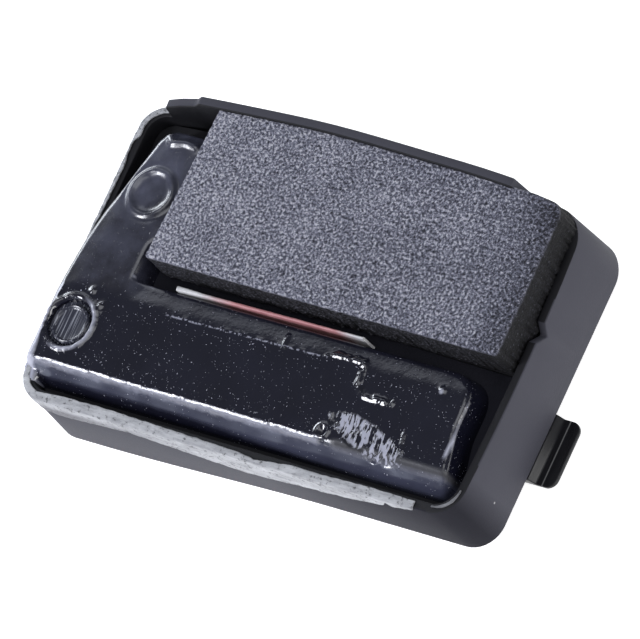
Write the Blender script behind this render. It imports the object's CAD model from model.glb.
import math

import bmesh
import bpy
from mathutils import Matrix, Vector, noise


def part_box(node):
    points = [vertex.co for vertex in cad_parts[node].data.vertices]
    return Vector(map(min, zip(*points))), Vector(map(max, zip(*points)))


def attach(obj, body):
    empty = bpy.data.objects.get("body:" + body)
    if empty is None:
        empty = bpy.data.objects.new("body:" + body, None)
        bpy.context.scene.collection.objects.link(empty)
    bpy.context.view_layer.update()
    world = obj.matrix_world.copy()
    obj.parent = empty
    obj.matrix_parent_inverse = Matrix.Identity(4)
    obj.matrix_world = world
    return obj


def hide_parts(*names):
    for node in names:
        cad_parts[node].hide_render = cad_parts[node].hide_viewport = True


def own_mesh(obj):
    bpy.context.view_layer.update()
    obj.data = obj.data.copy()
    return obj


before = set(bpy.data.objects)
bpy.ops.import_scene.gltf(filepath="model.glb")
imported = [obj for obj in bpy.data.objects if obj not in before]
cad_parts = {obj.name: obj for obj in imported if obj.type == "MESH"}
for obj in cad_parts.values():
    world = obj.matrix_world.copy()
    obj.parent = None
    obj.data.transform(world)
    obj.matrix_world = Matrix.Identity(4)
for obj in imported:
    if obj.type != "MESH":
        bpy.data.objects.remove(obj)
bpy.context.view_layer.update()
mm = 0.001

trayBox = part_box("housing_tray")
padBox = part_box("foam_face")
trayZ = trayBox[0].z / mm                       # underside of the housing
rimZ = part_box("seal_strip_left")[0].z / mm      # top of the low walls
padZ = padBox[1].z / mm                         # inking face
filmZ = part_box("film_cover")[1].z / mm          # top of the film
halfLength = trayBox[1].x / mm
halfWidth = -trayBox[0].y / mm

# Camera: angles in degrees, lengths in millimetres, clip in metres.
camera = {"azimuth": 68.7, "elevation": 52.22, "roll": -47.97, "distance": 978.0,
          "target": (1.09, -0.06, 6.3), "lens": 730.0, "sensor": 36.0, "clip": (0.05, 20.0)}
studio = {"colour": (0.84, 0.88, 1.0, 1), "strength": 0.15}
lights = {                      # direction, distance and size in metres, power in watts, colour
    "keyLight": ((-0.57, -0.60, 0.56), 0.5, (0.12, 0.17), 1.6, (0.92, 0.93, 1.0)),
    "frontFill": ((-0.57, -0.80, 0.34), 0.55, (0.34, 0.22), 0.28, (0.76, 0.83, 1.0)),
    "sideLight": ((-0.90, 0.34, 0.26), 0.5, (0.22, 0.12), 0.9, (0.88, 0.93, 1.0)),
    "backFill": ((-0.57, 0.66, 0.50), 0.55, (0.30, 0.20), 0.16, (0.86, 0.9, 1.0)),
    "topLight": ((0.25, -0.05, 0.95), 0.6, (0.5, 0.5), 1.25, (0.94, 0.96, 1.0)),
    "rightLight": ((0.93, -0.12, 0.34), 0.6, (0.4, 0.3), 1.9, (1, 1, 1)),
}


def makeCamera(c):
    a, e = math.radians(c["azimuth"]), math.radians(c["elevation"])
    back = Vector((math.sin(a) * math.cos(e), -math.cos(a) * math.cos(e), math.sin(e)))
    data = bpy.data.cameras.new("camera")
    data.lens, data.sensor_width = c["lens"], c["sensor"]
    data.clip_start, data.clip_end = c["clip"]
    view = bpy.data.objects.new("camera", data)
    roll = Matrix.Rotation(math.radians(c["roll"]), 3, "Z")
    turn = (-back).to_track_quat("-Z", "Y").to_matrix() @ roll
    place = (Vector(c["target"]) + back * c["distance"]) * mm
    view.matrix_world = Matrix.Translation(place) @ turn.to_4x4()
    bpy.context.scene.collection.objects.link(view)
    bpy.context.scene.camera = view


def makeLight(name, direction, distance, size, power, colour):
    data = bpy.data.lights.new(name, "AREA")
    data.shape, data.size, data.size_y = "RECTANGLE", size[0], size[1]
    data.energy, data.color = power, colour
    lamp = bpy.data.objects.new(name, data)
    towards = Vector(direction).normalized()
    lamp.location = towards * distance
    lamp.rotation_mode = "QUATERNION"
    lamp.rotation_quaternion = (-towards).to_track_quat("-Z", "Y")
    bpy.context.scene.collection.objects.link(lamp)


def makeWorld(w):
    world = bpy.data.worlds.new("studio")
    world.use_nodes = True
    background = world.node_tree.nodes["Background"]
    background.inputs["Color"].default_value = w["colour"]
    background.inputs["Strength"].default_value = w["strength"]
    bpy.context.scene.world = world


makeCamera(camera)
makeWorld(studio)
for name, setting in lights.items():
    makeLight(name, *setting)
bpy.context.scene.view_settings.view_transform = "Standard"
print("camera and lights placed")


def grey(level, blue=1.0):
    return (level, level, level * blue, 1)


class Wire:                     # a socket that can be used in sums
    def __init__(self, finish, socket):
        self.finish, self.socket = finish, socket

    def sum(self, operation, a, b=0.0, clamp=False):
        return self.finish.node("ShaderNodeMath", {"operation": operation, "use_clamp": clamp}, {0: a, 1: b})

    def __add__(self, other):
        return self.sum("ADD", self, other)

    def __radd__(self, other):
        return self.sum("ADD", other, self)

    def __sub__(self, other):
        return self.sum("SUBTRACT", self, other)

    def __rsub__(self, other):
        return self.sum("SUBTRACT", other, self)

    def __mul__(self, other):
        return self.sum("MULTIPLY", self, other)

    def __rmul__(self, other):
        return self.sum("MULTIPLY", other, self)

    def __truediv__(self, other):
        return self.sum("DIVIDE", self, other)

    def size(self):
        return self.sum("ABSOLUTE", self)

    def clamped(self):
        return self.sum("ADD", self, 0.0, True)

    def rising(self, start, slope):             # 0 up to a place, then climbs to 1
        return ((self - start) * slope).clamped()

    def falling(self, end, slope):              # drops from 1 to 0 at a place
        return ((end - self) * slope).clamped()

    def line(self, centre, slope):              # 1 along a line, fading to both sides
        return (1.0 - (self - centre).size() * slope).clamped()


class Finish:                   # one material and its nodes
    def __init__(self, name, **constants):
        self.material = bpy.data.materials.new(name)
        self.material.use_nodes = True
        self.tree = self.material.node_tree
        self.shader = self.tree.nodes["Principled BSDF"]
        for socket, value in constants.items():
            self.shader.inputs[socket.replace("_", " ")].default_value = value

    def node(self, kind, settings=None, sockets=None, out=0):
        made = self.tree.nodes.new(kind)
        for name, value in (settings or {}).items():
            if name == "stops":
                self.setStops(made.color_ramp, value)
            else:
                setattr(made, name, value)
        for name, value in (sockets or {}).items():
            if isinstance(value, Wire):
                self.tree.links.new(value.socket, made.inputs[name])
            else:
                made.inputs[name].default_value = value
        return Wire(self, made.outputs[out])

    def setStops(self, ramp, stops):
        while len(ramp.elements) < len(stops):
            ramp.elements.new(0.5)
        for element, (place, value) in zip(ramp.elements, stops):
            element.position = place
            element.color = value if isinstance(value, tuple) else grey(value)

    def place(self):
        return self.node("ShaderNodeTexCoord", out="Object")

    def stretched(self, scale, turn=0.0):
        sockets = {"Vector": self.place(), "Scale": scale, "Rotation": (0, 0, math.radians(turn))}
        return self.node("ShaderNodeMapping", {}, sockets)

    def axis(self, index):                      # x, y or z in millimetres
        return self.node("ShaderNodeSeparateXYZ", {}, {0: self.place()}, index) / mm

    def clouds(self, size, detail=3.0, rough=0.5, vector=None):
        sockets = {"Vector": vector or self.place(), "Scale": 1 / (size * mm), "Detail": detail,
                   "Roughness": rough}
        return self.node("ShaderNodeTexNoise", {}, sockets)

    def cells(self, size):
        return self.node("ShaderNodeTexVoronoi", {}, {"Vector": self.place(), "Scale": 1 / (size * mm)})

    def ramp(self, value, *stops):
        return self.node("ShaderNodeValToRGB", {"stops": stops}, {0: value})

    def mix(self, factor, a, b):                # the colour sockets of a Mix node are 6, 7 and output 2
        return self.node("ShaderNodeMix", {"data_type": "RGBA"}, {0: factor, 6: a, 7: b}, 2)

    def bump(self, height, depth):
        return self.node("ShaderNodeBump", {}, {"Height": height, "Distance": depth * mm, "Strength": 1.0})

    def feed(self, **wires):
        for socket, wire in wires.items():
            self.tree.links.new(wire.socket, self.shader.inputs[socket.replace("_", " ")])
        return self.material


# Finishes that several pieces share. Sizes and places in every finish are in millimetres.
def housingFinish():
    f = Finish("satinPlastic", Specular_IOR_Level=0.14)
    mottle = f.clouds(6.0, 4.0, 0.6)
    grain = f.clouds(0.16, 2.0, 0.6)
    scuff = f.ramp(f.clouds(1.7, 6.0, 0.75), (0.62, 0.0), (0.72, 1.0))
    linty = f.ramp(f.clouds(7.0), (0.5, 0.0), (0.56, 1.0))
    lint = f.ramp(f.cells(3.1), (0.022, 1.0), (0.04, 0.0)) * linty
    handled = f.axis(0).rising(1.0, 0.055) * f.axis(1).falling(-9.0, 0.4)       # darker at the front right
    plain = f.mix(mottle, (0.046, 0.046, 0.058, 1), (0.058, 0.058, 0.072, 1))
    worn = f.mix(scuff * 0.2, plain, (0.085, 0.085, 0.10, 1))
    dark = f.mix(handled * 0.9, worn, (0.013, 0.013, 0.018, 1))
    return f.feed(Base_Color=f.mix(lint * 0.8, dark, grey(0.4)),
                  Roughness=0.54 + grain * 0.14 + scuff * 0.05 + handled * 0.3,
                  Normal=f.bump(grain + mottle * 1.5, 0.012))


def innerFinish():
    f = Finish("innerPlastic", Specular_IOR_Level=0.3)
    stain = f.clouds(3.0, 4.0, 0.6)
    return f.feed(Base_Color=f.mix(stain, grey(0.004, 1.3), grey(0.011, 1.3)), Roughness=0.5 + stain * 0.3,
                  Normal=f.bump(f.clouds(0.2), 0.01))


def feltFinish():
    f = Finish("inkedFelt", Specular_IOR_Level=0.3)
    fibre = f.clouds(0.12, 4.0, 0.7, f.stretched((1, 1, 0.4)))
    return f.feed(Base_Color=f.mix(fibre, (0.004, 0.004, 0.008, 1), (0.02, 0.02, 0.03, 1)),
                  Roughness=0.75 + fibre * 0.2, Normal=f.bump(fibre, 0.05))


def pinFinish():
    f = Finish("scratchedPin", Specular_IOR_Level=0.7)
    scratch = f.clouds(0.14, 2.0, 0.6, f.stretched((1.0, 0.02, 1.0), -27))
    bright = f.ramp(scratch, (0.56, 0.0), (0.66, 1.0))
    return f.feed(Base_Color=f.mix(bright, (0.026, 0.028, 0.042, 1), (0.26, 0.27, 0.31, 1)),
                  Roughness=0.14 + scratch * 0.2, Normal=f.bump(scratch, 0.02))


satinPlastic, innerPlastic = housingFinish(), innerFinish()
inkedFelt, scratchedPin = feltFinish(), pinFinish()
print("shared finishes made")


def smoothByAngle(bm, limit=38):
    for face in bm.faces:
        face.smooth = True
    for edge in bm.edges:
        edge.smooth = len(edge.link_faces) == 2 and edge.calc_face_angle(0) < math.radians(limit)


def bevelEdges(bm, edges, width, segments, clamp=False):
    bmesh.ops.bevel(bm, geom=edges, offset=width, offset_type="OFFSET", segments=segments, profile=0.5,
                    affect="EDGES", clamp_overlap=clamp, material=-1)


def roundEdges(bm, width, segments=2, limit=30):
    sharp = [e for e in bm.edges if len(e.link_faces) == 2 and e.calc_face_angle(0) > math.radians(limit)]
    bevelEdges(bm, sharp, width, segments, True)


def finishPiece(name, bm, material, body, nodes):
    bmesh.ops.scale(bm, vec=(mm, mm, mm), verts=bm.verts)     # pieces are shaped in millimetres
    mesh = bpy.data.meshes.new(name)
    bm.to_mesh(mesh)
    bm.free()
    mesh.materials.append(material)
    piece = bpy.data.objects.new(name, mesh)
    bpy.context.scene.collection.objects.link(piece)
    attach(piece, body)
    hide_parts(*nodes)
    print("made", name, len(mesh.polygons), "faces")
    return piece


def giveWall(piece, thickness, offset):
    wall = piece.modifiers.new("thickness", "SOLIDIFY")
    wall.thickness, wall.offset = thickness * mm, offset


def block(bm, low, high):
    size = Vector(high) - Vector(low)
    made = bmesh.ops.create_cube(bm, size=1)["verts"]
    bmesh.ops.scale(bm, vec=size, verts=made)
    bmesh.ops.translate(bm, vec=(Vector(low) + Vector(high)) / 2, verts=made)


def cutAcross(bm, axis, places):
    normal = Vector((axis == "x", axis == "y", axis == "z"))
    for place in places:
        everything = bm.verts[:] + bm.edges[:] + bm.faces[:]
        bmesh.ops.bisect_plane(bm, geom=everything, plane_co=normal * place, plane_no=normal, dist=1e-5)


def onlyVerts(geom):
    return [v for v in geom if isinstance(v, bmesh.types.BMVert)]


def between(value, low, high):
    return min(1.0, max(0.0, (value - low) / (high - low)))


def smoothStep(value, low, high):
    t = between(value, low, high)
    return t * t * (3 - 2 * t)


def along(points, x):           # straight lines through a few (x, value) points
    if x <= points[0][0]:
        return points[0][1]
    for (x0, v0), (x1, v1) in zip(points, points[1:]):
        if x <= x1:
            return v0 + (v1 - v0) * (x - x0) / (x1 - x0)
    return points[-1][1]


def ripple(x, y, size, seed=0.0):
    return noise.noise(Vector((x / size, y / size, seed)))


def bead(distance, width):      # a rounded ridge across a distance
    return math.exp(-(distance / width) ** 2)


def nodeCentre(node):
    low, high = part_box(node)
    return (low.x + high.x) / 2 / mm, (low.y + high.y) / 2 / mm


# Housing: a box with round upright corners, hollowed, with a raised lip and a bow along its back wall.
tray = {"corner": 2.4, "wall": 0.8, "floor": 1.0, "height": rimZ - trayZ, "edge": 0.13,
        "bowAt": 12.0, "bow": 2.1, "leftBulge": 0.33, "bulgeFades": (-5, 9), "rightBulge": 0.12,
        "splay": 0.42,
        "lipEnds": (-18.6, 15.4), "lipDraws": (0.35, -0.3),      # each end leans in as it rises
        "lipSteps": [(-18.6, 1.75), (-15.3, 2.35), (-14.6, 3.0), (15.5, 3.05)],
        "notch": (2.3, 3.3, 4.0), "notchDepth": 1.05,
        "cutsX": [-16.8, -15.3, -14.6, *range(-12, 15, 2)], "cutsY": [-8, -5, -2, 0, 6, 8]}


def backBow(x):                 # how far the back wall bulges at x
    low, high, middle = -halfLength + tray["corner"], halfLength, tray["bowAt"]
    if not low < x < high:
        return 0.0
    a, b, c = low - 2 * middle + high, 2 * (middle - low), low - x
    t = (-b + math.sqrt(b * b - 4 * a * c)) / (2 * a)
    fuller = tray["leftBulge"] * smoothStep(x, low, low + 3) * (1 - smoothStep(x, *tray["bulgeFades"]))
    return 2 * t * (1 - t) * tray["bow"] + fuller


def hollowOut(bm, t):           # gives back the faces that are left as the rim
    roof = [f for f in bm.faces if f.normal.z > 0.9]
    bmesh.ops.inset_region(bm, faces=roof, thickness=t["wall"], use_even_offset=True)
    inner = [f for f in roof if f.is_valid]
    rim = [f for f in bm.faces if f.normal.z > 0.9 and f not in inner]
    sunk = bmesh.ops.extrude_face_region(bm, geom=inner)["geom"]
    bmesh.ops.translate(bm, vec=(0, 0, t["floor"] - t["height"]), verts=onlyVerts(sunk))
    bmesh.ops.delete(bm, geom=[f for f in inner if f.is_valid], context="FACES")
    return [f for f in rim if f.is_valid]


def raiseLip(bm, t, rim):
    left, right = t["lipEnds"]
    lip = []
    for face in rim:
        at = face.calc_center_median()
        if at.y > halfWidth - t["wall"] - 0.11 and left < at.x < right:
            lip.append(face)
    raised = bmesh.ops.extrude_face_region(bm, geom=lip)["geom"]
    bmesh.ops.delete(bm, geom=[f for f in lip if f.is_valid], context="FACES")
    for vert in onlyVerts(raised):
        vert.co.z += along(t["lipSteps"], vert.co.x)
        if vert.co.x < left + 0.1:
            vert.co.x += t["lipDraws"][0]
        if vert.co.x > right - 0.1:
            vert.co.x += t["lipDraws"][1]


def bendWalls(bm, t, top):
    for vert in bm.verts:
        co = vert.co
        height = between(co.z, trayZ + t["floor"], top)
        if co.y > halfWidth - t["corner"]:
            co.y += backBow(co.x) * between(co.y, halfWidth - t["corner"], halfWidth - t["wall"])
        if co.x > halfLength - t["corner"]:
            co.x += (t["rightBulge"] - 0.003 * (co.y + 1) ** 2) * height
        if co.y < t["corner"] - halfWidth:
            co.y -= t["splay"] * (1 - between(co.z, trayZ, top)) * smoothStep(-co.x, -6, 16)
        onRim = abs(co.z - top) < 0.01
        if onRim and co.x > halfLength - 2 * t["wall"] and abs(co.y - t["notch"][1]) < 0.05:
            co.z -= t["notchDepth"]


def stainInside(bm, t, top):    # ink has stained the inside and the top of the low rim
    corner = t["corner"]
    for face in bm.faces:
        at = face.calc_center_median()
        fromX, fromY = halfLength - abs(at.x), min(at.y + halfWidth, halfWidth + backBow(at.x) - at.y)
        inset = min(fromX, fromY)
        if max(fromX, fromY) < corner:
            inset = corner - math.hypot(corner - fromX, corner - fromY)
        onTop = face.normal.z > 0.8 and abs(at.z - top) < 0.15
        if at.z > trayZ + t["floor"] / 2 and inset > (0.1 if onTop else t["wall"] - 0.15):
            face.material_index = 1


def makeTray(t):
    bm = bmesh.new()
    top = trayZ + t["height"]
    block(bm, (-halfLength, -halfWidth, trayZ), (halfLength, halfWidth, top))
    upright = [e for e in bm.edges if abs(e.verts[0].co.z - e.verts[1].co.z) > 1]
    bevelEdges(bm, upright, t["corner"], 9)
    cutAcross(bm, "x", sorted([*t["lipEnds"], *t["cutsX"]]))
    cutAcross(bm, "y", sorted([*t["notch"], *t["cutsY"]]))
    raiseLip(bm, t, hollowOut(bm, t))
    bendWalls(bm, t, top)
    bmesh.ops.recalc_face_normals(bm, faces=bm.faces)
    roundEdges(bm, t["edge"])
    smoothByAngle(bm)
    stainInside(bm, t, top)
    piece = finishPiece("trayShell", bm, satinPlastic, "tray", ["housing_tray"])
    piece.data.materials.append(innerPlastic)


makeTray(tray)

# Latch: the tongue under the right wall, thick inside the box and thin outside it.
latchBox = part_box("latch_clip")
latch = {"root": latchBox[0].x / mm, "tip": latchBox[1].x / mm,
         "sides": (latchBox[0].y / mm, latchBox[1].y / mm), "bottom": 0.15, "flange": 0.5, "top": 1.2,
         "corner": 0.85, "edge": 0.09, "brightEdge": 21.88}


def latchFinish():
    f = Finish("glossPlastic", Specular_IOR_Level=0.3)
    drawn = f.clouds(0.5, 3.0, 0.5, f.stretched((1, 0.15, 1)))
    bright = f.axis(0).line(latch["brightEdge"], 13)
    black = f.mix(drawn, grey(0.004, 1.2), grey(0.011, 1.2))
    return f.feed(Base_Color=f.mix(bright * 0.9, black, grey(0.22)), Roughness=0.22 + drawn * 0.14,
                  Normal=f.bump(drawn, 0.01))


def makeLatch(t):
    bm = bmesh.new()
    block(bm, (t["root"], t["sides"][0], t["bottom"]), (t["tip"], t["sides"][1], t["top"]))
    cutAcross(bm, "x", [halfLength - 0.05, halfLength + 0.3])
    for vert in bm.verts:
        if vert.co.x > halfLength + 0.2 and vert.co.z > t["flange"]:
            vert.co.z = t["flange"]
    tipCorners = [e for e in bm.edges if min(v.co.x for v in e.verts) > t["tip"] - 0.01
                  and abs(e.verts[0].co.z - e.verts[1].co.z) > 0.1]
    bevelEdges(bm, tipCorners, t["corner"], 8)
    bmesh.ops.recalc_face_normals(bm, faces=bm.faces)
    roundEdges(bm, t["edge"], 3, 20)
    smoothByAngle(bm)
    finishPiece("latchTongue", bm, latchFinish(), "latch", ["latch_clip"])


makeLatch(latch)

# Stamping foam: a fine grid for the porous top, then a skirt drawn down from its rim.
pad = {"left": -13.25, "right": 20.05, "frontLeft": -0.2, "frontRight": -0.25, "back": halfWidth - 0.72,
       "corners": {(0, 0): 0.2, (1, 0): 0.3, (1, 1): 1.0, (0, 1): 0.2}, "edge": 0.14, "leftLean": 0.55,
       "backSwell": 0.25, "sunk": 0.06, "cellsAcross": (330, 130), "sideStep": 0.17, "grain": 0.28,
       "roughness": 0.10, "travel": 0.8}


def foamFinish():
    f = Finish("inkedFoam", Specular_IOR_Level=0.3)
    x, y = f.axis(0), f.axis(1)
    web = f.clouds(0.22, 2.0, 0.6)
    fine = f.clouds(0.1, 2.0, 0.5)
    patch = f.clouds(3.5, 2.0)
    pore = f.ramp(f.cells(0.5), (0.08, 1.0), (0.34, 0.0))
    wear = (x - 3.5) * 0.0011 + x.rising(16.3, 1 / 3.6) * 0.06 + (x + y * 0.6).rising(23.2, 0.3) * 0.05
    light = (web * 0.72 + fine * 0.28 + (patch - 0.5) * 0.09 - pore * 0.06 - wear).clamped()
    top = f.ramp(light, (0.32, (0.010, 0.010, 0.014, 1)), (0.43, (0.068, 0.070, 0.095, 1)),
                 (0.52, (0.18, 0.185, 0.235, 1)), (0.63, (0.50, 0.50, 0.55, 1)))
    side = f.ramp(light, (0.42, (0.003, 0.003, 0.004, 1)), (0.54, (0.016, 0.016, 0.021, 1)),
                  (0.66, (0.13, 0.13, 0.155, 1)))
    below = f.node("ShaderNodeAttribute", {"attribute_name": "belowTop"}, out="Fac")     # mm at rest
    depth = (below + (web - 0.5) * 0.7).rising(0.24, 1 / 0.22)
    return f.feed(Base_Color=f.mix(depth, top, side), Roughness=0.7 + web * 0.25,
                  Normal=f.bump(web + fine * 0.4 - pore * 0.3, 0.16))


def roundCorner(u, v, width, depth, radius, cornerU, cornerV):
    dx = abs(u - cornerU) * width
    dy = abs(v - cornerV) * depth
    if dx >= radius or dy >= radius:
        return u, v
    a, b = 1 - dx / radius, 1 - dy / radius
    a, b = a * math.sqrt(1 - b * b / 2), b * math.sqrt(1 - a * a / 2)
    inU = radius * (1 - a) / width
    inV = radius * (1 - b) / depth
    return (inU if cornerU == 0 else 1 - inU), (inV if cornerV == 0 else 1 - inV)


def padPlace(t, u, v):          # x and y of a place on the top, and how far it is from the sides
    width, depth = t["right"] - t["left"], t["back"] - t["frontLeft"]
    for (cornerU, cornerV), radius in t["corners"].items():
        u, v = roundCorner(u, v, width, depth, radius, cornerU, cornerV)
    x = t["left"] + width * u + t["leftLean"] * v * (1 - u)
    front = t["frontLeft"] + (t["frontRight"] - t["frontLeft"]) * u
    back = t["back"] + backBow(x) + t["backSwell"] * smoothStep(x, 12, 18)
    return x, front + (back - front) * v, min(u, 1 - u) * width, min(v, 1 - v) * depth


def raiseTop(bm, t):
    edge = t["edge"]
    for vert in bm.verts:
        x, y, dx, dy = padPlace(t, vert.co.x + 0.5, vert.co.y + 0.5)
        inside = edge - min(edge, dx, dy)
        drop = edge - math.sqrt(max(0.0, edge ** 2 - inside ** 2))
        swell = 0.05 * ripple(x, y, 6.0) + 0.02 * ripple(x, y, 1.5)
        porous = noise.noise(Vector((x, y, 0)) / t["grain"]) * t["roughness"]
        vert.co = (x, y, padZ - t["sunk"] - drop * 0.8 + swell + porous)


def drawSides(bm, t, rim, bottom):
    start = padZ - t["edge"]
    centre = Vector(((t["left"] + t["right"]) / 2, (t["frontLeft"] + t["back"]) / 2, 0))
    for step in range(int((start - bottom) / t["sideStep"])):
        level = start - (step + 1) * t["sideStep"]
        grown = bmesh.ops.extrude_edge_only(bm, edges=rim)["geom"]
        rim = [e for e in grown if isinstance(e, bmesh.types.BMEdge)]
        for vert in onlyVerts(grown):
            wander = 0.09 * noise.noise(Vector((vert.co.x, vert.co.y, level)) / 0.35)
            outward = (vert.co - centre).to_2d().normalized() * wander * 0.5
            vert.co.x += outward.x
            vert.co.y += outward.y
            vert.co.z = level
    bmesh.ops.holes_fill(bm, edges=rim, sides=0)


def makePad(t):
    bm = bmesh.new()
    bmesh.ops.create_grid(bm, x_segments=t["cellsAcross"][0], y_segments=t["cellsAcross"][1], size=0.5)
    rim = [e for e in bm.edges if e.is_boundary]
    raiseTop(bm, t)
    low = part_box("foam_core")[0]
    drawSides(bm, t, rim, low.z / mm)
    bmesh.ops.recalc_face_normals(bm, faces=bm.faces)
    smoothByAngle(bm, 60)
    below = bm.verts.layers.float.new("belowTop")      # stays with the foam when it is pressed
    for vert in bm.verts:
        vert[below] = padZ - vert.co.z
    piece = finishPiece("stampingFoam", bm, foamFinish(), "tray", ["foam_core", "foam_face"])
    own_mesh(piece)


makePad(pad)

# Film over the felt: one height formula for its plateau, front slope, creases and marks.
film = {"top": filmZ - 0.05, "thickness": 0.12, "reach": 0.5, "leftReach": 0.15,
        "columns": [(-21.1, 0.15), (-13.0, 0.15), (4.0, 0.086), (17.6, 0.12), (19.6, 0.12)],
        "rows": [(-11.75, 0.1), (-7.2, 0.1), (-6.0, 0.12), (-1.2, 0.17), (11.5, 0.17)],
        "leftSide": [(-12.0, -21.0), (-4.0, -21.0), (-2.6, -20.9), (0.5, -20.55), (3.0, -20.0), (5.1, -19.35),
                     (7.2, -18.8), (9.4, -18.15), (10.6, -17.7), (11.6, -17.4)],
        "left": -21.0, "right": 18.25, "front": -11.1, "back": 10.75, "innerX": -14.8, "innerY": -1.62,
        "ridgeAt": 9.6, "frontSlope": 1.15, "wickDip": 0.30, "backFall": 0.42, "shoulder": 0.12,
        "hole": (-18.45, -6.3, 1.95), "crumbs": [((-16.4, -4.6), 0.5), ((-17.7, -3.4), 0.28)],
        "boss": (-16.62, 5.31, 1.87), "loop": (7.25, -9.0),
        "dents": [((15.78, -3.4), 0.16, 0.32), ((18.0, -2.5), 0.22, 0.36)],
        "paleSpots": [((18.15, -2.5), 9, 1.0), ((15.75, -3.55), 14, 0.8)],
        "seam": [(-10.4, -3.62), (4.6, -3.38), (5.3, -3.0), (8.2, -3.0), (8.5, -4.9), (9.4, -5.5),
                 (12.0, -5.5)],
        "scratches": [[(0.66, -2.56), (0.78, -3.7)], [(14.2, -7.5), (14.4, -8.3), (14.7, -8.9)]],
        "creases": [[(-17.95, 10.25), (-17.3, 10.1), (-16.7, 9.55)],
                    [(-16.5, 9.6), (-15.6, 9.85), (-14.6, 9.75)]]}
crinkle = {"centre": (11.2, -8.6), "turn": math.radians(-16), "half": (4.0, 1.2), "run": (0.46, -0.89),
           "lean": 0.2}


def onCrinkle(x, y):            # offsets, then half-widths along and across the crinkled patch
    cos, sin = math.cos(crinkle["turn"]), math.sin(crinkle["turn"])
    dx, dy = x - crinkle["centre"][0], y - crinkle["centre"][1]
    return dx, dy, (dx * cos + dy * sin) / crinkle["half"][0], (dy * cos - dx * sin) / crinkle["half"][1]


def filmDust(f, y):             # denser in clusters and along two lines
    lines = y.line(-8.7, 0.9) + y.line(-4.1, 1.3) * 0.6
    crowd = (f.clouds(1.8, 3.0, 0.7) * 2.6 - 1.25 + lines * 0.5).clamped()
    return f.ramp(f.clouds(0.15, 1.0, 0.5) + crowd * 0.07, (0.73, 0.0), (0.79, 1.0))


def filmStitches(f, x, y):      # a dashed row beside the wick
    dashes = f.ramp(f.clouds(0.3, 2.0, 0.6), (0.46, 0.0), (0.54, 1.0))
    row = (y - x * 0.016 + f.clouds(1.0) * 0.12).line(-3.44, 9)
    return row * dashes * x.rising(-10.6, 2) * x.falling(5.2, 2)


def whitenedPatch(f, x, y):
    u, v = onCrinkle(x, y)[2:]
    ragged = f.clouds(0.7, 4.0, 0.7) * 1.3 - 0.65
    patch = ((1.0 - u * u - v * v + ragged) * 4).clamped()
    pleats = f.clouds(0.36, 2.0, 0.6, f.stretched((1.0, 0.24, 1.0), -27))
    return patch * f.ramp(pleats, (0.48, 0.0), (0.54, 1.0))


def paleFolds(f, x, y, creep):
    left = (x + creep * 0.5).line(-20.68, (y + 12.6) * 0.6) * y.falling(-3.0, 1.5)
    right = (x + creep * 0.2).line(18.42, 4) * y.falling(-2.2, 4) * y.rising(-8.6, 2)
    inner = (y + (x + 14.9) * 0.2 + creep * 0.4).line(-1.37, 6) * x.rising(-15.1, 4) * x.falling(-12.6, 3)
    onTop = f.axis(2).rising(filmZ - 0.5, 5)
    spots = 0.0
    for (spotX, spotY), narrow, strength in film["paleSpots"]:
        dx, dy = x - spotX, y - spotY
        spots = spots + (1.0 - (dx * dx + dy * dy) * narrow).clamped() * strength
    dx, dy = x - film["hole"][0], y - film["hole"][1]
    ring = (dx * dx + dy * dy + creep).line(4.95, 0.85) * (dx * 0.8 - dy * 0.3 + 0.3).clamped()
    ridge = (y + creep * 0.7).line(-film["ridgeAt"] - 0.16, 3.2) * x.falling(7.4, 2)
    high = (right + inner * 0.55 + spots) * onTop
    return ((left * 2).clamped() + high + ring * 0.9 + ridge * 0.6).clamped()


def filmFinish():
    f = Finish("inkyFilm", Specular_IOR_Level=1.0, IOR=1.5)
    x, y = f.axis(0), f.axis(1)
    haze = f.clouds(4.5, 4.0, 0.55)
    creep = f.clouds(0.8, 3.0) * 0.5 - 0.25
    dust, whitened = filmDust(f, y), whitenedPatch(f, x, y)
    satin = (y + (f.clouds(1.4, 3.0) - 0.5) * 1.6).rising(-3.4, 1.4) * (0.16 + x.falling(-12.5, 0.4) * 0.84)
    glossy = 1.0 - satin
    onSlope, lowOnSlope = y.falling(-9.7, 4), y.falling(-9.7, 2)
    sheen = onSlope * (y + x.rising(-6.0, 0.055) * 0.6 + creep * 0.3).rising(-10.75, 3)
    dulled = x.rising(8.0, 1.2) * y.falling(-9.1, 2) * (1.0 - lowOnSlope)
    folds = paleFolds(f, x, y, creep)
    speck = (dust * glossy + filmStitches(f, x, y) * 0.8 + whitened * 0.9 + folds).clamped()
    veil = ((f.clouds(3.0, 4.0, 0.6) - 0.5) * 2.0 + 0.42 + (y - 3.0) * 0.06).clamped()
    deep = f.mix(haze, (0.0035, 0.0035, 0.008, 1), (0.009, 0.0095, 0.020, 1))
    cloudy = f.mix(veil, (0.008, 0.008, 0.015, 1), (0.070, 0.074, 0.108, 1))
    base = f.mix(sheen * (0.25 + haze * 0.7), f.mix(satin, deep, cloudy), (0.066, 0.071, 0.112, 1))
    grain = f.clouds(0.3, 3.0, 0.6) * (glossy * (1.0 - onSlope))
    waves = f.clouds(1.3, 3.0) * (1.5 - onSlope * 1.3)
    return f.feed(Base_Color=f.mix(speck * 0.9, base, (0.42, 0.43, 0.52, 1)),
                  Roughness=0.11 + haze * 0.08 + satin * 0.11 + dulled * 0.62 + speck * 0.2,
                  Normal=f.bump(grain + waves + dust * 1.5 + whitened * 4, 0.02))


def softMin(a, b, r):
    h = between(0.5 + 0.5 * (b - a) / r, 0, 1)
    return b + (a - b) * h - r * h * (1 - h)


def softMax(a, b, r):
    return -softMin(-a, -b, r)


def leftEdge(t, y):
    return along(t["leftSide"], y)


def rightEdge(t, y):
    return t["right"] + 0.8 * smoothStep(-y, 5.5, 10.0)


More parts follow.
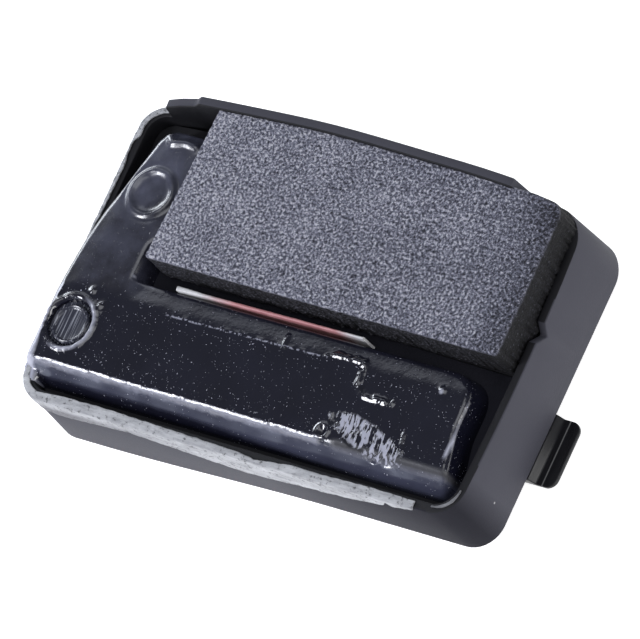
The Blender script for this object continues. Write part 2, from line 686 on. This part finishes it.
def insideFilm(t, x, y):        # distance in from the block's edge, negative outside
    outer = softMin(x - leftEdge(t, y), rightEdge(t, y) - x, 0.8)
    outer = softMin(outer, y - t["front"], 1.2)
    outer = softMin(outer, t["back"] - y, 0.9)
    innerX = t["innerX"] + 1.2 * smoothStep(y, 1.0, 3.0)
    window = softMax(innerX - x, t["innerY"] - y, 0.5)
    return softMin(outer, window, 0.6 + 2.2 * smoothStep(x, 12.0, 16.0))


def segment(x, y, a, b):        # distance to a straight stretch
    ax, ay = b[0] - a[0], b[1] - a[1]
    k = between(((x - a[0]) * ax + (y - a[1]) * ay) / (ax * ax + ay * ay), 0, 1)
    return math.hypot(x - a[0] - k * ax, y - a[1] - k * ay)


def pathDistance(x, y, path):
    return min(segment(x, y, a, b) for a, b in zip(path, path[1:]))


def seamBump(t, x, y):
    lift = 0.0
    if -11 < x < 12.6 and -6 < y < -2.4:
        strong = smoothStep(x, 4.4, 5.4)
        broken = between(0.35 + 0.5 * strong + ripple(x, y, 0.55, 3.0) * 2.0, 0, 1)
        lift += (0.05 + 0.2 * strong) * bead(pathDistance(x, y, t["seam"]), 0.13 + 0.12 * strong) * broken
    for path in t["scratches"]:
        if abs(x - path[0][0]) < 1.5 and abs(y - path[0][1]) < 2.2:
            lift += 0.12 * bead(pathDistance(x, y, path), 0.13)
    return lift


def crinkleBump(x, y):
    dx, dy, u, v = onCrinkle(x, y)
    inside = 1 - smoothStep(math.hypot(u, v) + 0.25 * ripple(x, y, 0.9, 30.0), 0.75, 1.0)
    if inside <= 0:
        return 0.0
    runX, runY = crinkle["run"]
    across, down = dx * -runY + dy * runX, dx * runX + dy * runY
    folds = 0.085 * noise.noise(Vector((across / 0.42, down / 1.3, 7.0))) + 0.03 * ripple(x, y, 0.3, 9.0)
    return inside * (folds + crinkle["lean"] * (v - 0.5) * crinkle["half"][1])


def bossBump(t, x, y):
    bossX, bossY, r = t["boss"]
    d = math.hypot(x - bossX, y - bossY)
    dish = -0.15 * (1 - smoothStep(d, 0.6 * r, 0.98 * r))
    dish += 0.05 * ripple(x, y, 0.7, 50.0) * bead(d - r + 0.4, 0.5)
    return dish + 0.20 * bead(d - r, 0.2) - 0.07 * bead(d - r - 0.45, 0.22)


def holeBump(t, x, y):
    holeX, holeY, r = t["hole"]
    away = math.hypot(x - holeX, y - holeY)
    ragged = 1 + 0.8 * ripple(x, y, 0.5, 33.0)
    lift = 0.19 * ragged * bead(away - r - 0.27, 0.21) - 0.3 * smoothStep(r - away, -0.1, 0.25)
    for place, size in t["crumbs"]:
        lift += 0.22 * bead(math.hypot(x - place[0], y - place[1]), size) * (1 + ripple(x, y, 0.3, 8.0))
    return lift


def markBumps(t, x, y):
    lift = seamBump(t, x, y) + crinkleBump(x, y) + bossBump(t, x, y) + holeBump(t, x, y)
    for place, height, width in t["dents"]:
        lift += height * bead(math.hypot(x - place[0], y - place[1]), width)
    loop = math.hypot(x - t["loop"][0], y - t["loop"][1])
    return lift + 0.11 * bead(loop - 0.55, 0.17) - 0.2 * bead(loop, 0.28)


def filmHeight(t, x, y):
    edge = insideFilm(t, x, y)
    ragged = 0.08 * ripple(x, y, 0.4, 40.0) * bead(y + t["ridgeAt"], 0.3)
    fall = softMax(0.0, -y - t["ridgeAt"] + ragged + 0.1 * ripple(x, 0, 2.5, 4.0), 0.30)
    z = t["top"] - t["frontSlope"] * fall
    z -= t["wickDip"] * smoothStep(y, -3.6, -1.6) * smoothStep(x, -15.5, -13.5)
    z -= t["backFall"] * smoothStep(y, 9.5, 10.7)                                # behind the creases
    z -= t["shoulder"] * smoothStep(leftEdge(t, y) + 1.8 - x, 0, 1.8)            # along the left
    roll = min(3.0, max(0.0, 1 - edge / 0.45))
    z -= 0.15 * min(roll, 1) ** 2 + (3.2 * (roll - 1) if roll > 1 else 0)        # dives past its outline
    overRim = rimZ + 0.1 - 5 * smoothStep(x, t["left"] + 1.1, t["left"] + 2.0)   # lies on the left rim
    if edge < -0.1:
        return max(z, overRim)
    ridge = y - 0.1 + t["ridgeAt"]
    folds = (0.06 * ripple(x, y, 5.5) + 0.02 * ripple(x, y, 1.6, 2.0)) * (1 - 0.9 * smoothStep(-y, 9.7, 10.2))
    folds += 0.02 * bead(ridge, 0.2)
    folds += 0.03 * between(ripple(x, y, 0.4, 5.0) * 2 + 0.2, 0, 1) * bead(ridge - 0.6, 0.14)
    folds += 0.16 * bead(edge - 0.5, 0.24) * smoothStep(-y, 3.0, 5.0) * smoothStep(-x, 18.5, 19.5)
    if y > 8:
        folds += 0.34 * max(bead(pathDistance(x, y, path), 0.3) for path in t["creases"])
    folds += markBumps(t, x, y)
    return max(z + folds * smoothStep(edge, -0.1, 0.35), overRim)


def gridLines(stops):           # places along one side, closer together where the detail is
    places = []
    for (start, step), (end, _) in zip(stops, stops[1:]):
        count = max(1, round((end - start) / step))
        places += [start + (end - start) * k / count for k in range(count)]
    return places + [stops[-1][0]]


def makeFilm(t):
    columns, rows = gridLines(t["columns"]), gridLines(t["rows"])
    bm = bmesh.new()
    bmesh.ops.create_grid(bm, x_segments=len(columns) - 1, y_segments=len(rows) - 1, size=0.5)
    for vert in bm.verts:
        x = columns[round((vert.co.x + 0.5) * (len(columns) - 1))]
        y = rows[round((vert.co.y + 0.5) * (len(rows) - 1))]
        slide = (leftEdge(t, y) - t["left"]) * between(-x, 13.4, 21.0)
        slide += (rightEdge(t, y) - t["right"]) * between(x, 15.0, 18.2)     # follows the slanting sides
        vert.co.x, vert.co.y = x + slide, y
    outside = []
    for vert in bm.verts:
        x, y = vert.co.x, vert.co.y
        hole = math.hypot(x - t["hole"][0], y - t["hole"][1]) - t["hole"][2]
        reach = t["leftReach"] if x < t["left"] + 1.5 else t["reach"]
        if insideFilm(t, x, y) < -reach or hole < -0.2:
            outside.append(vert)
    bmesh.ops.delete(bm, geom=outside, context="VERTS")
    for vert in bm.verts:
        vert.co.z = filmHeight(t, vert.co.x, vert.co.y)
    for face in bm.faces:
        face.smooth = True
    giveWall(finishPiece("filmSkin", bm, filmFinish(), "tray", ["film_cover"]), t["thickness"], -1)


makeFilm(film)

# The felt that fills the film from below; it keeps clear of the film, the pins and their rings.
felt = {"cell": 0.5, "inset": 0.4, "gap": 0.3, "topGap": 0.35, "thickness": 1.2, "clear": 2.25}


def makeFelt(t, skin):
    bm = bmesh.new()
    wide, deep = skin["right"] - skin["left"], skin["back"] - skin["front"]
    columns, rows = round(wide / t["cell"]), round(deep / t["cell"])
    bmesh.ops.create_grid(bm, x_segments=columns, y_segments=rows, size=0.5)
    bmesh.ops.scale(bm, vec=(wide, deep, 1), verts=bm.verts)
    bmesh.ops.translate(bm, vec=(skin["left"] + wide / 2, skin["front"] + deep / 2, 0), verts=bm.verts)
    pinPlaces = [skin["hole"], skin["boss"], nodeCentre("locking_pin_front_right")]
    outside = []
    for vert in bm.verts:
        x, y = vert.co.x, vert.co.y
        pinGap = min(math.hypot(x - place[0], y - place[1]) for place in pinPlaces)
        if insideFilm(skin, x, y) < t["inset"] or pinGap < t["clear"]:
            outside.append(vert)
    bmesh.ops.delete(bm, geom=outside, context="VERTS")
    for vert in bm.verts:
        vert.co.z = min(filmZ - t["topGap"], filmHeight(skin, vert.co.x, vert.co.y) - t["gap"])
    giveWall(finishPiece("feedFelt", bm, inkedFelt, "tray", ["feed_felt"]), t["thickness"], -1)


makeFelt(felt, film)

# Pale bonded strips on the rim. Widths and heights are given at places along it.
strip = {"thickness": 0.12, "lift": 0.05, "tuck": 0.06,
         "frontFoot": [(-21.5, 2.0), (-20.2, 1.9), (-16.6, 2.2), (-13.9, 1.8), (-10.6, 1.4), (-5, 2.3),
                       (0, 3.0), (6.6, 2.2), (10.2, 1.8), (13.9, 0.9), (15.2, 0.6), (17.1, 0.15)],
         "frontStart": [(-21.5, 0.5), (-19.3, 0.5), (-16.5, 0.72), (-12.5, 0.74), (-8.0, 0.62),
                        (-3.0, 0.5), (0.0, 0.4), (2.6, 0.22), (4.2, 0.4), (5.6, 0.55), (7.9, 0.5),
                        (12.8, 0.62), (17.1, 0.55)],
         "leftWidth": [(0.7, 0.14), (3.3, 0.30), (7.2, 0.34), (8.0, 0.12), (9.1, 0.12), (9.6, 0.5),
                       (14.0, 0.5)]}
# A wall's middle, the way along it, the way in and its half length.
walls = {"front": (Vector((0, -halfWidth, 0)), Vector((-1, 0, 0)), Vector((0, 1, 0)), halfLength),
         "frontRight": (Vector((0, -halfWidth, 0)), Vector((1, 0, 0)), Vector((0, 1, 0)), halfLength),
         "left": (Vector((-halfLength, 0, 0)), Vector((0, 1, 0)), Vector((1, 0, 0)), halfWidth)}


def stripFinish():
    f = Finish("paleStrip", Specular_IOR_Level=0.4)
    x, z = f.axis(0), f.axis(2)
    fibre = f.clouds(0.5, 5.0, 0.75, f.stretched((0.22, 1, 1)))
    fleck = f.ramp(f.clouds(0.36, 4.0, 0.75), (0.36, 1.0), (0.43, 0.0))
    cloud = f.clouds(2.4, 3.0)
    scuffed = ((fibre - 0.5) * 2.4 + 0.5).clamped()
    foot = (z - cloud * 0.5).falling(rimZ - 0.55, 1.1) * x.falling(-4.0, 0.08)
    pale = f.mix(scuffed, (0.22, 0.225, 0.24, 1), (0.60, 0.61, 0.63, 1))
    thin = f.mix(cloud * 0.5, pale, (0.24, 0.245, 0.26, 1))
    clear = f.mix(foot, thin, (0.13, 0.13, 0.145, 1))             # thin enough there to show the wall
    dull = f.mix(x.rising(17.4, 3) * (0.35 + cloud * 0.8), clear, (0.07, 0.07, 0.08, 1))
    return f.feed(Base_Color=f.mix(fleck * 0.75, dull, (0.05, 0.05, 0.055, 1)), Roughness=0.5 + fibre * 0.25,
                  Normal=f.bump(fibre + fleck * -0.6, 0.05))


paleStrip = stripFinish()


def rimRoute(distance, wall):
    # Distance runs from the wall's middle, round the corner at its end and on along the next wall.
    middle, way, inward, half = wall
    corner = tray["corner"]
    straight = half - corner
    if distance < straight:
        return middle + way * distance, inward
    angle = min((distance - straight) / corner, math.pi / 2)
    facing = inward * math.cos(angle) - way * math.sin(angle)
    centre = middle + way * straight + inward * corner
    beyond = max(0.0, distance - straight - corner * math.pi / 2)
    return centre - facing * corner + inward * beyond, facing


def makeStrip(name, node, span, cells, wall, section):
    bm = bmesh.new()
    bmesh.ops.create_grid(bm, x_segments=cells[0], y_segments=cells[1], size=0.5)
    for vert in bm.verts:
        s = span[0] + (span[1] - span[0]) * (vert.co.x + 0.5)
        point, inward = rimRoute(s, walls[wall])
        inset, z = section(s, vert.co.y + 0.5)
        rough = 0.03 * noise.noise(point / 0.5 + Vector((0, inset, z)))
        vert.co = point + inward * (inset - rough) + Vector((0, 0, z + rough))
    bmesh.ops.recalc_face_normals(bm, faces=bm.faces)
    for face in bm.faces:
        face.smooth = True
    giveWall(finishPiece(name, bm, paleStrip, "tray", [node]), strip["thickness"], 0)


def foldOver(s, t):             # from the inner edge of the rim, over the outer edge and down the wall
    x, lift = -s, strip["lift"]
    foot = along(strip["frontFoot"], x) + 0.16 * ripple(x, 0, 1.4, 11.0) + 0.08 * ripple(x, 0, 0.4, 12.0)
    foot = max(0.08, foot - 0.5 * bead(x - 14.5, 0.3))
    start = along(strip["frontStart"], x) + 0.05 * ripple(x, 0, 0.8, 13.0) - 0.12 * bead(x - 2.0, 0.3)
    way = start - (start + foot) * t
    if way > 0:
        return way, rimZ + lift + 0.04 - 0.08 * bead(way, 0.12)
    return -lift - strip["tuck"] * (1 - bead(way, 0.3)), rimZ + lift + way


def lieFlat(s, t):
    width = along(strip["leftWidth"], s) + 0.05 * ripple(s, 0, 0.5, 14.0)
    return 0.03 + width * t, rimZ + strip["lift"] + 0.05 * t


def remnant(s, t):
    width = 0.06 + 0.16 * math.sin(math.pi * between(s, 18.4, 22.5)) + 0.05 * ripple(s, 0, 0.4, 15.0)
    return 0.55 + width * (t - 0.5), rimZ + strip["lift"]


makeStrip("frontStrip", "seal_strip_front", (-17.1, 23.2), (420, 30), "front", foldOver)
makeStrip("leftStrip", "seal_strip_left", (0.7, 14.6), (160, 6), "left", lieFlat)
makeStrip("cornerStrip", "seal_strip_corner", (18.6, 22.3), (60, 6), "frontRight", remnant)

# Pin head seen through the hole in the film: a rolled edge round a flat top, turned in one piece.
pin = {"node": "locking_pin_front_left", "radius": 1.62, "edge": 0.2, "top": filmZ - 0.16, "rise": 0.19,
       "shoulder": 0.4, "sides": 64}


def turned(bm, profile, centre, sides):
    verts = [bm.verts.new((r, 0, z)) for r, z in profile]
    edges = [bm.edges.new(pair) for pair in zip(verts, verts[1:])]
    bmesh.ops.spin(bm, geom=verts + edges, cent=(0, 0, 0), axis=(0, 0, 1), angle=math.tau, steps=sides,
                   use_merge=True)
    bmesh.ops.remove_doubles(bm, verts=bm.verts, dist=1e-4)
    bmesh.ops.recalc_face_normals(bm, faces=bm.faces)
    bmesh.ops.translate(bm, vec=(*centre, 0), verts=bm.verts)


def makePin(t):
    r, e, top, rise = t["radius"], t["edge"], t["top"], t["rise"]
    bottom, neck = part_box(t["node"])[0].z / mm, r - t["shoulder"]
    head = [(0, top), (r - 2 * e, top), (r - 1.7 * e, top + 0.02), (r - 1.3 * e, top + 0.7 * rise),
            (r - 0.8 * e, top + rise), (r - 0.3 * e, top + 0.7 * rise), (r, top), (r + 0.02, top - e)]
    stem = [(r, trayZ + 1.1), (neck, trayZ + 1.05), (neck, bottom), (0, bottom)]
    bm = bmesh.new()
    turned(bm, head + stem, nodeCentre(t["node"]), t["sides"])
    smoothByAngle(bm, 50)
    finishPiece("pinFrontLeft", bm, scratchedPin, "tray", [t["node"]])


makePin(pin)

# Wick strip in front of the foam: a thin bar set on edge, thicker at its white end.
wick = {"from": (-10.75, -1.33), "to": (6.9, -1.12), "width": 0.28, "top": filmZ - 0.3, "depth": 2.0,
        "edge": 0.13, "slices": 90}


def wickFinish():
    f = Finish("stainedWick", Specular_IOR_Level=0.5)
    fibre = f.clouds(0.5, 4.0, 0.7, f.stretched((0.4, 1, 1)))
    stain = (f.axis(0) + 12.0) / 20.0 + f.clouds(1.6, 2.0) * 0.1
    middle = f.ramp(stain, (0.22, 0.0), (0.36, 1.0), (0.86, 1.0), (0.96, 0.0))
    stained = f.mix(fibre, (0.26, 0.05, 0.06, 1), (0.66, 0.36, 0.37, 1))
    white = f.mix(fibre, (0.30, 0.30, 0.31, 1), (0.85, 0.85, 0.87, 1))
    return f.feed(Base_Color=f.mix(middle, white, stained), Roughness=0.35 + fibre * 0.3,
                  Normal=f.bump(fibre, 0.03))


def makeWick(t):
    bm = bmesh.new()
    start, end = Vector((*t["from"], 0)), Vector((*t["to"], 0))
    length, half = (end - start).length, t["width"] / 2
    block(bm, (0, -half, -t["depth"]), (length, half, 0))
    cutAcross(bm, "x", [length * k / t["slices"] for k in range(1, t["slices"])])
    upper = [e for e in bm.edges if all(v.co.z > -0.01 for v in e.verts)
             and abs(e.verts[0].co.x - e.verts[1].co.x) > 0.01]
    bevelEdges(bm, upper, t["edge"], 4)
    for vert in bm.verts:
        x = vert.co.x
        swell = 1 + 0.45 * (1 - smoothStep(x, 0.0, 3.4)) - 0.25 * smoothStep(x, 8.0, 16.0)
        vert.co.y *= swell * (1 + 0.12 * ripple(x, 0, 0.6, 21.0))
        if vert.co.z > -0.5:
            vert.co.z += 0.04 * ripple(x, vert.co.y, 0.5, 22.0) + 0.06 * (1 - smoothStep(x, 0.0, 2.0))
    turn = Matrix.Rotation(math.atan2(end.y - start.y, end.x - start.x), 3, "Z")
    bmesh.ops.rotate(bm, verts=bm.verts, cent=(0, 0, 0), matrix=turn)
    bmesh.ops.translate(bm, vec=start + Vector((0, 0, t["top"])), verts=bm.verts)
    smoothByAngle(bm, 50)
    finishPiece("wickBar", bm, wickFinish(), "tray", ["wick_strip"])


makeWick(wick)

# Pieces that keep the shape they have in the frame.
kept = {"base_plate": satinPlastic, "ink_cell": innerPlastic, "foam_grid": innerPlastic,
        "ink_felt": inkedFelt, "locking_pin_back_left": scratchedPin, "locking_pin_front_right": scratchedPin,
        "locking_pin_back_right": scratchedPin, "pin_ring_front_left": scratchedPin,
        "pin_ring_back_left": scratchedPin}
for name, material in kept.items():
    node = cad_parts[name]
    node.data.materials.clear()
    node.data.materials.append(material)
print("gave", len(kept), "kept pieces their finishes")

ground = {"half": 3.0, "drop": 0.00002, "glow": 0.8}      # metres; never level with the underside


def floorFinish():
    f = Finish("paleFloor", Specular_IOR_Level=0.1, Emission_Strength=ground["glow"])     # as a light table
    f.shader.inputs["Emission Color"].default_value = grey(1.0)
    return f.feed(Base_Color=f.mix(f.clouds(60.0, 2.0), grey(0.86), grey(0.90)),
                  Roughness=0.85 + f.clouds(25.0) * 0.1)


def makeFloor(t):
    bm = bmesh.new()
    bmesh.ops.create_grid(bm, x_segments=4, y_segments=4, size=t["half"])
    bmesh.ops.translate(bm, vec=(0, 0, -t["drop"]), verts=bm.verts)
    mesh = bpy.data.meshes.new("floor")
    bm.to_mesh(mesh)
    bm.free()
    mesh.materials.append(floorFinish())
    floor = bpy.data.objects.new("floor", mesh)
    bpy.context.scene.collection.objects.link(floor)


makeFloor(ground)
